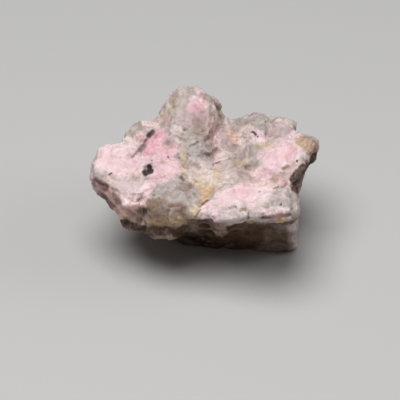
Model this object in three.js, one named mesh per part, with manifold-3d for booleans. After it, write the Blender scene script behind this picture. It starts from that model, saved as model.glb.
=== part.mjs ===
// A hand-sized specimen of tugtupite rock, 50 mm wide: one broken piece of pink and grey-white
// vein stone, with a blunt peak at the back, an arm to the left, a tip to the right and a
// knobbly rim that juts out over a narrower foot. It rests on one flat break.
//
// Units are millimetres, +Z is up, +X runs to the right and -Y is the side the rim faces.
// The stone is laid out with the front edge of its foot at y = 0. At the end it is moved so
// that the origin is under the middle of its box, on the surface that it rests on.
//
// Its skin is a ball of triangles, shrunk on to the stone like a net: blocky lumps that run into
// each other, less the grooves and pits between them, less the flat chips that broke off all over.

import * as THREE from "three";
import { ConvexHull } from "three/addons/math/ConvexHull.js";
import { ImprovedNoise } from "three/addons/math/ImprovedNoise.js";
import { mergeVertices } from "three/addons/utils/BufferGeometryUtils.js";
import Module from "manifold-3d";

const wasm = await Module();
wasm.setup();

// The middle that the net is first drawn towards, and how far out it starts.
const MIDDLE = new THREE.Vector3(0, 4, 11);
const OUTSIDE = 45;
// The steps that draw it in: how many at most, the share of the distance left that each one
// covers, and how near to the stone they stop.
const DRAWING_IN = { steps: 40, share: 0.8, near: 0.05 };
// How many times each edge of the icosahedron is divided to make the net.
const DIVISIONS = 21;
// How often the net is evened out on the plain stone, and again once the chips are off it.
const ROUNDS = { plain: 70, chipped: 14 };
// How far each point then goes towards the middle of those round it.
const EVENING_SHARE = 0.6;
// How a point is put back on the stone: how often, over how short a way the slope is measured,
// the least square of it that is trusted, and the longest single move.
const SETTLING = { times: 2, reach: 0.05, leastSlope: 0.2, longest: 0.8 };
// Points that are this near to each other are one.
const SAME_POINT = 1e-4;

// How far a broken edge is worn round, how far one lump runs into the next, and how far the
// skin stands off the lumps' planes to make up for both.
const WEAR = 0.25;
const BLEND = 1.2;
const SKIN = 0.45;
// Two faces of a hull whose normals agree this closely are one plane.
const SAME_PLANE = 0.995;

// The lumps that grew together into the stone, each a block with the corners of its outline.
const LUMPS = {
  body: [
    [-5.4, 3.6, -2], [-1.5, 3, -2], [4.4, 4.6, -2], [12.7, 2, -2], [19.2, 1.2, -2],
    [19.2, 11, -2], [13, 21, -2], [-11, 20.5, -2], [-14.8, 12.5, -2], [-17, 0, 20.5],
    [-12, -5, 19], [-2, -9, 17.5], [8, -9, 17.5], [17.8, -9.5, 18.5], [17.8, 0, 22.8],
    [18.6, 8, 22.8], [17.5, 13.5, 22.8], [6, 13.8, 22], [-11, 13.6, 23], [-18.5, 4.5, 24],
    [15, 22.5, 8], [4, 24.6, 14], [-8, 23, 10], [-19.5, 12, 13], [20.6, 12, 13], [-14, 18, 18],
    [14, 19, 19],
  ],
  rimShelf: [
    [-13, -7, 22.2], [-2, -11.5, 22], [8, -13.6, 22.6], [17.6, -14.4, 22.8], [-2, -9.5, 19.5],
    [8, -11.5, 20], [17.6, -12, 20.6], [17.8, 2, 16], [-10, 4, 16], [17.8, 0, 22.8],
    [-10, 2, 23],
  ],
  rightCorner: [
    [17.6, -12.4, 20.6], [19.4, -12, 21], [19.5, 1.6, -2], [20.1, 3.2, -2], [19.9, 8, 22],
    [11, -7, 18], [11, 3, -2], [13, 10, 20],
  ],
  shoulder: [
    [-12.7, -0.2, 25.2], [-9.5, 3.4, 25.4], [-10, 8, 25.6], [-6.9, 3.9, 25], [-6.2, -0.7, 24.6],
    [-9.4, -6, 24], [-13.7, -7.9, 23.4], [-2.6, -3, 23.6], [-14, 0, 14], [-4, 0, 14],
    [-8, 8, 14],
  ],
  frontLedge: [
    [9.8, -7.4, 24.6], [14.1, -6.2, 25], [17.2, -6.1, 24.6], [18, -8.9, 24.4],
    [18, -16.6, 24.2], [15, -17.1, 24.4], [12.3, -17.1, 24.1], [9.6, -16.2, 23.4],
    [8.6, -15.4, 22], [13, -16, 21.7], [18.2, -15.8, 21.8], [5.5, -7.9, 23.4],
    [18.4, -8, 18.6], [10, -7, 18.2],
  ],
  pinkSlope: [
    [13.8, 3.4, 25.2], [12.4, -3.1, 24.6], [15.8, -5.3, 24.7], [18.8, -4.2, 24.4],
    [21.3, -1, 24], [20.6, 1.8, 24.8], [17.2, 4, 25.4], [14, 3, 14], [13, -3, 14],
    [17.5, -2, 16], [19, 3, 16],
  ],
  greyFacet: [
    [9.5, 6.1, 24.6], [12.5, 1.6, 24.6], [12.9, -0.8, 24.4], [9, -1.4, 23.2],
    [13.4, 5.8, 25.6], [9, 5, 14], [13, 5, 14], [12, -1, 14], [9, -1, 14],
  ],
  rightTip: [
    [25.2, 7.7, 24.2], [23.7, 7.9, 25.2], [21.4, 8.7, 25], [23.6, 6.4, 22.4], [22.4, 3.1, 22],
    [20.6, 1.8, 25], [19.4, 5.4, 26], [21.3, -1, 24], [18.8, -4.2, 24.4], [21.8, 6.5, 15],
    [20.8, 8.5, 11], [19.9, 9.5, 8], [15, 2, 16], [16, 12, 24], [19, 13, 12], [22, 11.5, 14],
  ],
  rightDome: [
    [14.8, 14.2, 25.8], [16.1, 13.3, 26.1], [17.8, 12.6, 25.8], [19.7, 13.3, 25.7],
    [19.7, 10.9, 25.4], [17.2, 4, 26], [14.2, 6.6, 25.6], [14, 6, 20], [20, 7, 20],
    [16, 17, 19], [20, 14.5, 19],
  ],
  backDome: [
    [6.8, 14.2, 25.4], [8.6, 13.8, 26.3], [11.7, 14.3, 26.6], [13.5, 15, 27.3], [14.2, 14.8, 26.4],
    [13.4, 5.8, 26.2], [10.8, 5, 26], [7.8, 7.8, 24.6], [7, 6, 19], [13, 6, 19], [12, 18, 19],
    [7, 17.5, 19],
  ],
  peak: [
    [-5.9, 15, 33.2], [-3.9, 14.9, 33.6], [-1.6, 14.6, 33.3], [0.4, 14.6, 32.5],
    [2.2, 14.4, 31.6], [3.2, 14.6, 29.6], [-7, 15, 29.9], [-9.2, 13.8, 27], [-11.2, 13.6, 24.8],
    [-5.2, 10.1, 30.5], [-1.7, 10, 30.8], [-3.5, 7, 28.2], [0.7, 6.6, 28], [2.1, 9.6, 28.2],
    [-8.2, 9.5, 26.2], [-6.9, 3.9, 25], [-3, 1.5, 24.2], [0.4, 0.5, 23.6], [1.9, 4.4, 25],
    [-8, 19, 25], [1, 19.5, 26], [-3, 19, 29.5], [-10, 19, 17], [3, 20, 17], [-6, 2, 17],
    [1, 1, 17],
  ],
  peakFlank: [
    [2.6, 15.1, 29.2], [3.4, 15.6, 28.1], [4.1, 15.3, 26.8], [5.4, 14.4, 24.6], [3, 10.7, 25.2],
    [2.6, 7, 23.4], [4.8, 7.2, 22.6], [6.9, 9.7, 23.1], [2, 6, 17], [7, 9, 17], [6, 17.5, 18],
    [0, 18, 26],
  ],
  leftArm: [
    [-24.9, -0.2, 20.5], [-24.6, 2.8, 22], [-24, 4.4, 26.2], [-21.5, 3.4, 27],
    [-18.9, 3.8, 26.8], [-24.5, -2.4, 20.3], [-21.4, -2.9, 25], [-16.3, -3.6, 25.6],
    [-12.7, -0.2, 25.6], [-13.7, -7.9, 23.6], [-18.4, -7.2, 23], [-15.6, -9.8, 21.6],
    [-21.3, -4.2, 21.6], [-20.2, -4.6, 17.8], [-18.5, -5, 15.8], [-17.8, -7.2, 14.6],
    [-23.5, 1.5, 17.5], [-20, 6, 17], [-14, 6, 15], [-12, -4, 14],
  ],
  lowRidge: [
    [-19.4, 6.2, 27.5], [-17.8, 6.4, 27.5], [-16.8, 7.8, 27], [-15.6, 8, 26.8],
    [-12.5, 4.8, 27], [-13.8, 1.7, 26.8], [-15.5, 0, 26.2], [-18, 0.8, 26.8], [-18, 8, 18],
    [-13, 8, 18], [-14, 0, 20], [-19, 1, 20],
  ],
  highRidge: [
    [-14.6, 11.5, 27.6], [-13, 12, 27.6], [-11, 12, 26.8], [-10.8, 8.5, 26.8],
    [-12.5, 4.8, 27], [-15.2, 8.4, 27.2], [-14.6, 12.2, 18], [-11, 13, 18], [-12, 5, 20],
    [-15, 8, 20],
  ],
  greyLobe: [
    [-11.6, -7.2, 23.6], [-9.2, -6, 24.4], [-5.6, -6.2, 24.4], [-3, -8, 23.6],
    [-11.2, -10, 22.4], [-8.3, -10.6, 23.2], [-5, -10.6, 22.8], [-2.4, -10.6, 21.4],
    [-12.4, -10.6, 20], [-8.2, -12.9, 21], [-5, -12.7, 20.6], [-12.2, -10.7, 16.5],
    [-8, -13.8, 18], [-5, -13.4, 18], [-2.8, -11.6, 17.5], [-11.2, -10.9, 13],
    [-8.4, -12.1, 13.6], [-5.6, -12.1, 14.6], [-12, -3, 12], [-3, -4, 12],
  ],
  lowLobe: [
    [-17.8, -7.4, 13.5], [-13.2, -9.6, 11.8], [-15.6, -9.7, 21], [-17.8, -6.8, 20.6],
    [-18, -8.3, 18], [-13.8, -9.9, 19.5], [-12, -3, 11], [-17, -2, 13], [-14, -2, 20],
  ],
  middleLobe: [
    [-0.9, -14.2, 21], [0.2, -13.9, 21.2], [2.3, -14.2, 21.2], [2.3, -8.6, 22.8],
    [0.2, -8.1, 22.6], [-2.6, -8.3, 23], [-2, -8, 16], [3, -8, 16], [0, -11, 18],
  ],
  rimLobe: [
    [4.4, -14.6, 21.2], [6.6, -15.3, 21.4], [8.3, -15.9, 21.8], [2.3, -14.2, 21.4],
    [5.5, -7.9, 23.8], [9.8, -7.4, 24.4], [9.3, -13, 24.2], [3, -9, 23.2], [4, -8.5, 16],
    [9.5, -8.5, 16], [7, -12, 18.6],
  ],
  backSlope: [
    [-12, 13.5, 22.5], [8, 14.5, 22.5], [7, 18.5, 18], [-11, 18, 18], [-3, 18, 27],
    [3, 17, 24.5], [-8, 16.5, 25], [1, 21.5, 15], [-8, 21, 14], [0, 8, 18],
  ],
  underLump: [
    [1.2, -12.4, 18.6], [6.4, -13.4, 18.8], [4.2, -11.4, 13.6], [2, -10.6, 14.4],
    [6.2, -11, 15], [3, -3, 9], [3, -5, 18],
  ],
};

// The grooves and pits between the lumps, each a rounded cut from one point to another.
const GROOVES = {
  besidePeak: { from: [3.5, 11, 27.6], to: [2.9, 3.8, 23.8], radius: 0.8 },
  belowFlank: { from: [5.6, 15, 26.2], to: [6.6, 8, 24.6], radius: 0.6 },
  betweenDomes: { from: [14.4, 15.2, 27.3], to: [14, 7, 26.9], radius: 0.8 },
  blackSeam: { from: [-15.6, 0.8, 27], to: [-11.8, 6.4, 27.5], radius: 0.7 },
  blackPit: { from: [-12.7, -3, 25.9], to: [-12, -2, 25.9], radius: 0.8 },
  pinkPit: { from: [16.8, -2, 25.9], to: [18.6, -0.6, 25.9], radius: 1.2 },
  rimNotch: { from: [9.6, -17.4, 24], to: [9.3, -14, 25], radius: 0.9 },
  underLip: { from: [11.6, -17.9, 22.9], to: [18.4, -17.8, 24], radius: 0.7 },
  leftOfLobe: { from: [-13.6, -10, 22], to: [-13, -10.6, 14], radius: 0.7 },
  rightOfLobe: { from: [-1.8, -10.4, 22.4], to: [-1.8, -12, 17], radius: 0.8 },
  stainedCrease: { from: [-1, -12.5, 22.6], to: [1.4, -7.5, 23.4], radius: 0.9 },
};

// The chips: how many there are, how deep and how tilted each is, and how far it reaches.
const CHIPS = { count: 340, depth: [0.05, 0.3], tilt: 0.4, reach: [2, 4] };
// The rough skin over it all, in octaves, and how far along y its pattern is moved.
const ROUGHNESS = [{ size: 5.2, height: 0.6 }, { size: 2.4, height: 0.28 }];
const ROUGHNESS_SHIFT = 7.3;
// The block of ground that cuts the flat foot off the stone, with its top at z = 0.
const GROUND = { width: 200, depth: 20 };
// Where the random numbers start.
const SEED = 7;

// The same numbers every time, between 0 and 1.
function* randomNumbers(seed) {
  let state = seed;
  while (true) {
    state = (Math.imul(state, 1664525) + 1013904223) >>> 0;
    yield state / 2 ** 32;
  }
}

const random = randomNumbers(SEED);
const between = ([low, high]) => low + (high - low) * random.next().value;
const noise = new ImprovedNoise();

// The planes of the hull round a block's corners: a point x is on one where normal . x = offset.
function hullPlanes(corners) {
  const planes = [];
  const points = corners.map((corner) => new THREE.Vector3(...corner));
  for (const face of new ConvexHull().setFromPoints(points).faces) {
    if (planes.some((plane) => plane.normal.dot(face.normal) > SAME_PLANE)) continue;
    planes.push({ normal: face.normal.clone(), offset: face.constant });
  }
  return planes;
}

// How far a point is outside a block, with the block's edges worn round.
function blockDistance(planes, point) {
  const distances = planes.map(({ normal, offset }) => normal.dot(point) - offset);
  const most = Math.max(...distances);
  const sum = distances.reduce((total, distance) => total + Math.exp((distance - most) / WEAR), 0);
  return most + WEAR * Math.log(sum) - SKIN;
}

// The smaller of two distances, where the two shapes run into each other over a little way.
function blendedUnion(a, b, width) {
  const nearness = Math.max(width - Math.abs(a - b), 0) / width;
  return Math.min(a, b) - (nearness ** 2 * width) / 4;
}

function grooveDistance({ line, radius }, point) {
  const nearest = line.closestPointToPoint(point, true, new THREE.Vector3());
  return nearest.distanceTo(point) - radius;
}

const blocks = Object.values(LUMPS).map((corners) => ({
  planes: hullPlanes(corners),
  ball: new THREE.Sphere().setFromPoints(corners.map((corner) => new THREE.Vector3(...corner))),
}));
const grooves = Object.values(GROOVES).map(({ from, to, radius }) => ({
  line: new THREE.Line3(new THREE.Vector3(...from), new THREE.Vector3(...to)),
  radius,
}));
const chips = [];

function chipDistance({ centre, normal, offset, reach }, point) {
  return Math.max(offset - normal.dot(point), centre.distanceTo(point) - reach);
}

// How far a point is outside the stone.
function stoneDistance(point) {
  let distance = blockDistance(blocks[0].planes, point);
  for (const { planes, ball } of blocks.slice(1)) {
    if (ball.distanceToPoint(point) > distance + BLEND) continue;
    distance = blendedUnion(distance, blockDistance(planes, point), BLEND);
  }
  for (const groove of grooves) {
    distance = -blendedUnion(-distance, grooveDistance(groove, point), BLEND);
  }
  for (const chip of chips) {
    if (chip.centre.distanceToSquared(point) > chip.reach ** 2) continue;
    distance = Math.max(distance, -chipDistance(chip, point));
  }
  for (const { size, height } of ROUGHNESS) {
    distance += height * noise.noise(point.x / size, point.y / size + ROUGHNESS_SHIFT, point.z / size);
  }
  return distance;
}

// The way that the stone's surface faces near a point, as long as the distance changes there.
function slopeAt(point, distance) {
  const ahead = point.clone();
  const slope = new THREE.Vector3();
  for (const axis of ["x", "y", "z"]) {
    ahead[axis] += SETTLING.reach;
    slope[axis] = (stoneDistance(ahead) - distance) / SETTLING.reach;
    ahead[axis] = point[axis];
  }
  return slope;
}

// Draws a point straight in to where its line to the middle first meets the stone.
function drawIn(direction) {
  const point = new THREE.Vector3();
  let reach = OUTSIDE;
  for (let step = 0; step < DRAWING_IN.steps; step += 1) {
    point.copy(direction).multiplyScalar(reach).add(MIDDLE);
    const distance = stoneDistance(point);
    if (Math.abs(distance) < DRAWING_IN.near) break;
    reach -= DRAWING_IN.share * distance;
  }
  return point;
}

// Moves a point that is near the surface on to it.
function settle(point) {
  const { times, leastSlope, longest } = SETTLING;
  for (let time = 0; time < times; time += 1) {
    const distance = stoneDistance(point);
    const slope = slopeAt(point, distance);
    const move = -distance / Math.max(slope.lengthSq(), leastSlope);
    point.addScaledVector(slope, THREE.MathUtils.clamp(move, -longest, longest));
  }
}

// For each point of the net, the points that it shares a triangle's side with.
function neighboursOf(net) {
  const neighbours = Array.from({ length: net.getAttribute("position").count }, () => new Set());
  const corners = net.index.array;
  for (let i = 0; i < corners.length; i += 3) {
    for (const [a, b] of [[0, 1], [1, 2], [2, 0]]) {
      neighbours[corners[i + a]].add(corners[i + b]);
      neighbours[corners[i + b]].add(corners[i + a]);
    }
  }
  return neighbours.map((set) => [...set]);
}

// Evens out the net, by moving each point towards those round it, most of all towards the far
// ones, and back on to the stone.
function relax(points, neighbours, rounds) {
  const middle = new THREE.Vector3();
  for (let round = 0; round < rounds; round += 1) {
    points.forEach((point, i) => {
      middle.set(0, 0, 0);
      let total = 0;
      for (const j of neighbours[i]) {
        const pull = point.distanceToSquared(points[j]);
        middle.addScaledVector(points[j], pull);
        total += pull;
      }
      settle(point.lerp(middle.divideScalar(total), EVENING_SHARE));
    });
  }
}

function randomDirection() {
  const height = between([-1, 1]);
  const angle = between([0, 2 * Math.PI]);
  const across = Math.sqrt(1 - height ** 2);
  return new THREE.Vector3(across * Math.cos(angle), across * Math.sin(angle), height);
}

// A flat chip that is broken off the stone round a point of its surface.
function makeChip(centre) {
  const tilt = randomDirection().multiplyScalar(between([0, CHIPS.tilt]));
  const normal = slopeAt(centre, stoneDistance(centre)).normalize().add(tilt).normalize();
  const offset = normal.dot(centre) - between(CHIPS.depth);
  return { centre: centre.clone(), normal, offset, reach: between(CHIPS.reach) };
}

// A closed geometry as a solid that can be joined and cut.
function solidOf(geometry) {
  geometry.deleteAttribute("normal");
  geometry.deleteAttribute("uv");
  const merged = mergeVertices(geometry, SAME_POINT);
  return new wasm.Manifold(new wasm.Mesh({
    numProp: 3,
    vertProperties: merged.getAttribute("position").array,
    triVerts: new Uint32Array(merged.index.array),
  }));
}

function geometryOf(solid) {
  const mesh = solid.getMesh();
  return new THREE.BufferGeometry()
    .setAttribute("position", new THREE.BufferAttribute(new Float32Array(mesh.vertProperties), 3))
    .setIndex(new THREE.BufferAttribute(new Uint32Array(mesh.triVerts), 1));
}

function buildStone() {
  const ball = new THREE.IcosahedronGeometry(1, DIVISIONS);
  ball.deleteAttribute("normal");
  ball.deleteAttribute("uv");
  const net = mergeVertices(ball, SAME_POINT);
  const position = net.getAttribute("position");
  const neighbours = neighboursOf(net);
  const points = Array.from({ length: position.count }, (_, i) => (
    drawIn(new THREE.Vector3().fromBufferAttribute(position, i))
  ));
  relax(points, neighbours, ROUNDS.plain);
  const places = Array.from({ length: CHIPS.count }, () => between([0, points.length]));
  chips.push(...places.map((place) => makeChip(points[Math.floor(place)])));
  relax(points, neighbours, ROUNDS.chipped);
  points.forEach((point, i) => position.setXYZ(i, ...point));
  const ground = new THREE.BoxGeometry(GROUND.width, GROUND.width, GROUND.depth);
  ground.translate(0, 0, -GROUND.depth / 2);
  return geometryOf(solidOf(net).subtract(solidOf(ground)));
}

const geometry = buildStone();
geometry.computeBoundingBox();
const box = geometry.boundingBox;
const stone = new THREE.Mesh(
  geometry,
  new THREE.MeshStandardMaterial({ color: 0xdccac6, roughness: 0.6, metalness: 0 }),
);
stone.name = "stone";
stone.position.set(-(box.min.x + box.max.x) / 2, -(box.min.y + box.max.y) / 2, -box.min.z);

const group = new THREE.Group();
group.add(stone);

export default group;
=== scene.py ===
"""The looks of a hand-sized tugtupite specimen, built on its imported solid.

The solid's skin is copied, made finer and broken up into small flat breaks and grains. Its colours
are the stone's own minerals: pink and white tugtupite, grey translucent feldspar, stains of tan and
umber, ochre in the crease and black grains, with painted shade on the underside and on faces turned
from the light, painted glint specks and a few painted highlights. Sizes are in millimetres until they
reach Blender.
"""

import functools  # noqa: E402
import itertools  # noqa: E402
import logging  # noqa: E402
import math  # noqa: E402
from dataclasses import dataclass, field  # noqa: E402
from enum import Enum  # noqa: E402
from typing import Any  # noqa: E402

import bmesh  # noqa: E402
import bpy  # noqa: E402
import numpy as np  # noqa: E402
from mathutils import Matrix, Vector  # noqa: E402
from mathutils.bvhtree import BVHTree  # noqa: E402


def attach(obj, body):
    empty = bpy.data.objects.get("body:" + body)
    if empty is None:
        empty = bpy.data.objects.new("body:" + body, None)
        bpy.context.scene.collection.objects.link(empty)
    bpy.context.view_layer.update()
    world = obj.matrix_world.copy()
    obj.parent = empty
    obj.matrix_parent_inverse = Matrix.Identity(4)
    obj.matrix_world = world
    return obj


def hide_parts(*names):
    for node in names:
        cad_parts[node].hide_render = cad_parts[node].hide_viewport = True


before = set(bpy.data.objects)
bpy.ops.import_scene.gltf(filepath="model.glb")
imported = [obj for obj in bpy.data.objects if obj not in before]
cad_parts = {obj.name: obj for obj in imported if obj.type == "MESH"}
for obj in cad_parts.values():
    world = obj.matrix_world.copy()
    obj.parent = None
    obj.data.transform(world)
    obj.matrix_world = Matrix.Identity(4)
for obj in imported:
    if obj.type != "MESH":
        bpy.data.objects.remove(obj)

log = logging.getLogger("tugtupite")

MM = 0.001
MEAN = 0.5  # of noise, and of a grain's random numbers
Colour = tuple[float, float, float]
Pixel = tuple[float, float]
Place = tuple[float, float, float]
Waves = tuple[tuple[float, float], ...]


# ------------------------------------------------------------------------------------------ camera


@dataclass(frozen=True)
class Viewpoint:
    """Where the camera stands, and where a spot of its square picture lands on the stone.

    Attributes:
        elevation: How high above the horizon it stands, in degrees.
        picture: How wide its picture is, in pixels.
        focal: Its focal length, in pixels.
        pixel: How much of the stone a pixel covers at the aim, in mm.
        aim: What it is turned to, in mm.
        sensor: How wide its sensor is, in mm.
        clipping: The nearest and the farthest that it sees, in metres.
    """

    elevation: float = 40.0
    picture: int = 400
    focal: float = 4000.0
    pixel: float = 0.2174
    aim: Place = (-0.879, -1.175, 12.0)
    sensor: float = 36.0
    clipping: tuple[float, float] = (0.01, 50.0)

    @property
    def towards(self) -> Vector:
        """The direction from the aim to the camera."""
        angle = math.radians(self.elevation)
        return Vector((0.0, -math.cos(angle), math.sin(angle)))

    @property
    def upwards(self) -> Vector:
        """The direction that is up in the picture."""
        angle = math.radians(self.elevation)
        return Vector((0.0, math.sin(angle), math.cos(angle)))

    @property
    def eye(self) -> Vector:
        """The camera's place, in mm."""
        return Vector(self.aim) + self.towards * self.focal * self.pixel

    def on_picture_plane(self, across: float, down: float) -> Vector:
        """Gives the point of the plane through the aim that a pixel shows.

        Args:
            across: Pixels from the picture's left edge.
            down: Pixels from its top edge.

        Returns:
            The point, in mm.
        """
        half = self.picture / 2
        sideways = Vector((1.0, 0.0, 0.0)) * (across - half)
        return Vector(self.aim) + (sideways + self.upwards * (half - down)) * self.pixel

    def landed(self, tree: BVHTree, place: Pixel) -> Vector:
        """Finds what a pixel shows of the stone.

        Args:
            tree: The stone's skin.
            place: Pixels across and down the picture.

        Returns:
            The place on the skin, in mm.
        """
        seen = self.on_picture_plane(*place)
        hit, _, _, _ = tree.ray_cast(self.eye * MM, (seen - self.eye).normalized())
        if hit is None:
            log.warning("the pixel %s misses the stone", place)
            hit, _, _, _ = tree.find_nearest(seen * MM)
        return hit / MM

    def place_camera(self) -> None:
        """Makes the scene's camera."""
        lens = bpy.data.cameras.new("camera")
        lens.sensor_width = self.sensor
        lens.lens = self.focal * self.sensor / self.picture
        lens.clip_start, lens.clip_end = self.clipping
        camera = bpy.data.objects.new("camera", lens)
        camera.location = self.eye * MM
        camera.rotation_mode = "QUATERNION"
        camera.rotation_quaternion = (-self.towards).to_track_quat("-Z", "Y")
        bpy.context.scene.collection.objects.link(camera)
        bpy.context.scene.camera = camera


# ----------------------------------------------------------------------------------- shader graphs


@dataclass(frozen=True)
class Patches:
    """Soft patches of noise.

    Attributes:
        size: How large they are, in mm.
        edge: The noise where they start and where they are full.
        detail: How many finer layers they have.
        roughness: How strong the finer layers are.
        offset: How far away they are read, so that patches of one size differ, in mm.
        strength: How strong a full patch is.
    """

    size: float
    edge: tuple[float, float]
    detail: float = 2.0
    roughness: float = 0.5
    offset: Place = (0.0, 0.0, 0.0)
    strength: float = 1.0


@dataclass(frozen=True)
class Specks:
    """Small round specks in some of the grains of one size.

    Attributes:
        size: How large a grain is, in mm.
        radius: Where a speck ends and where it is full, in grain sizes.
        rarity: The random number, from 0 to 1, where grains start to have one, and where it is full.
        offset: How far away they are read, so that specks of one size differ, in mm.
        strength: How strong a full speck is.
    """

    size: float
    radius: tuple[float, float]
    rarity: tuple[float, float]
    offset: Place
    strength: float


class Rise(Enum):
    """How a mask rises from nothing to its top."""

    SMOOTH = "SMOOTHSTEP"
    STRAIGHT = "LINEAR"


class Mixing(Enum):
    """What a Mix node mixes: its data type, and the sockets of both values and of the result."""

    NUMBER = ("FLOAT", 2, 3, 0)
    VECTOR = ("VECTOR", 4, 5, 1)
    COLOUR = ("RGBA", 6, 7, 2)


@dataclass(frozen=True)
class Wire:
    """A number, vector or colour on its way between nodes, with the arithmetic of numbers.

    Attributes:
        graph: The nodes that it runs between.
        socket: The output that it comes from.
    """

    graph: "Graph"
    socket: bpy.types.NodeSocket

    @property
    def is_vector(self) -> bool:
        """Whether it carries three numbers."""
        return self.socket.type in {"VECTOR", "RGBA"}

    def _with(self, operation: str, left: Any, right: Any) -> "Wire":
        """Joins two values with the Math or Vector Math node that suits them.

        Args:
            operation: The node's operation.
            left: The first value.
            right: The second value.

        Returns:
            The result.
        """
        if any(isinstance(side, Wire) and side.is_vector for side in (left, right)):
            sides = [(side,) * 3 if isinstance(side, (int, float)) else side for side in (left, right)]
            return self.graph.vector_math(operation, *sides)
        return self.graph.math(operation, left, right)

    def __add__(self, other: Any) -> "Wire":
        """The sum."""
        return self._with("ADD", self, other)

    __radd__ = __add__

    def __sub__(self, other: Any) -> "Wire":
        """The difference."""
        return self._with("SUBTRACT", self, other)

    def __rsub__(self, other: Any) -> "Wire":
        """The difference, the other way round."""
        return self._with("SUBTRACT", other, self)

    def __mul__(self, other: Any) -> "Wire":
        """The product."""
        return self._with("MULTIPLY", self, other)

    __rmul__ = __mul__

    def most(self, other: Any) -> "Wire":
        """The larger of this and another."""
        return self._with("MAXIMUM", self, other)

    def step(self, low: float, high: float, top: float = 1.0, rise: Rise = Rise.SMOOTH) -> "Wire":
        """Rises from 0 at low to the top at high, or falls where high is the smaller.

        Args:
            low: Where it starts to leave 0.
            high: Where it reaches the top.
            top: How high that is.
            rise: How it rises.

        Returns:
            The mask.
        """
        node = self.graph.node(
            "ShaderNodeMapRange",
            {"interpolation_type": rise.value},
            {"Value": self, "From Min": low, "From Max": high, "To Min": 0.0, "To Max": top},
        )
        return self.graph.wire(node, "Result")


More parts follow.
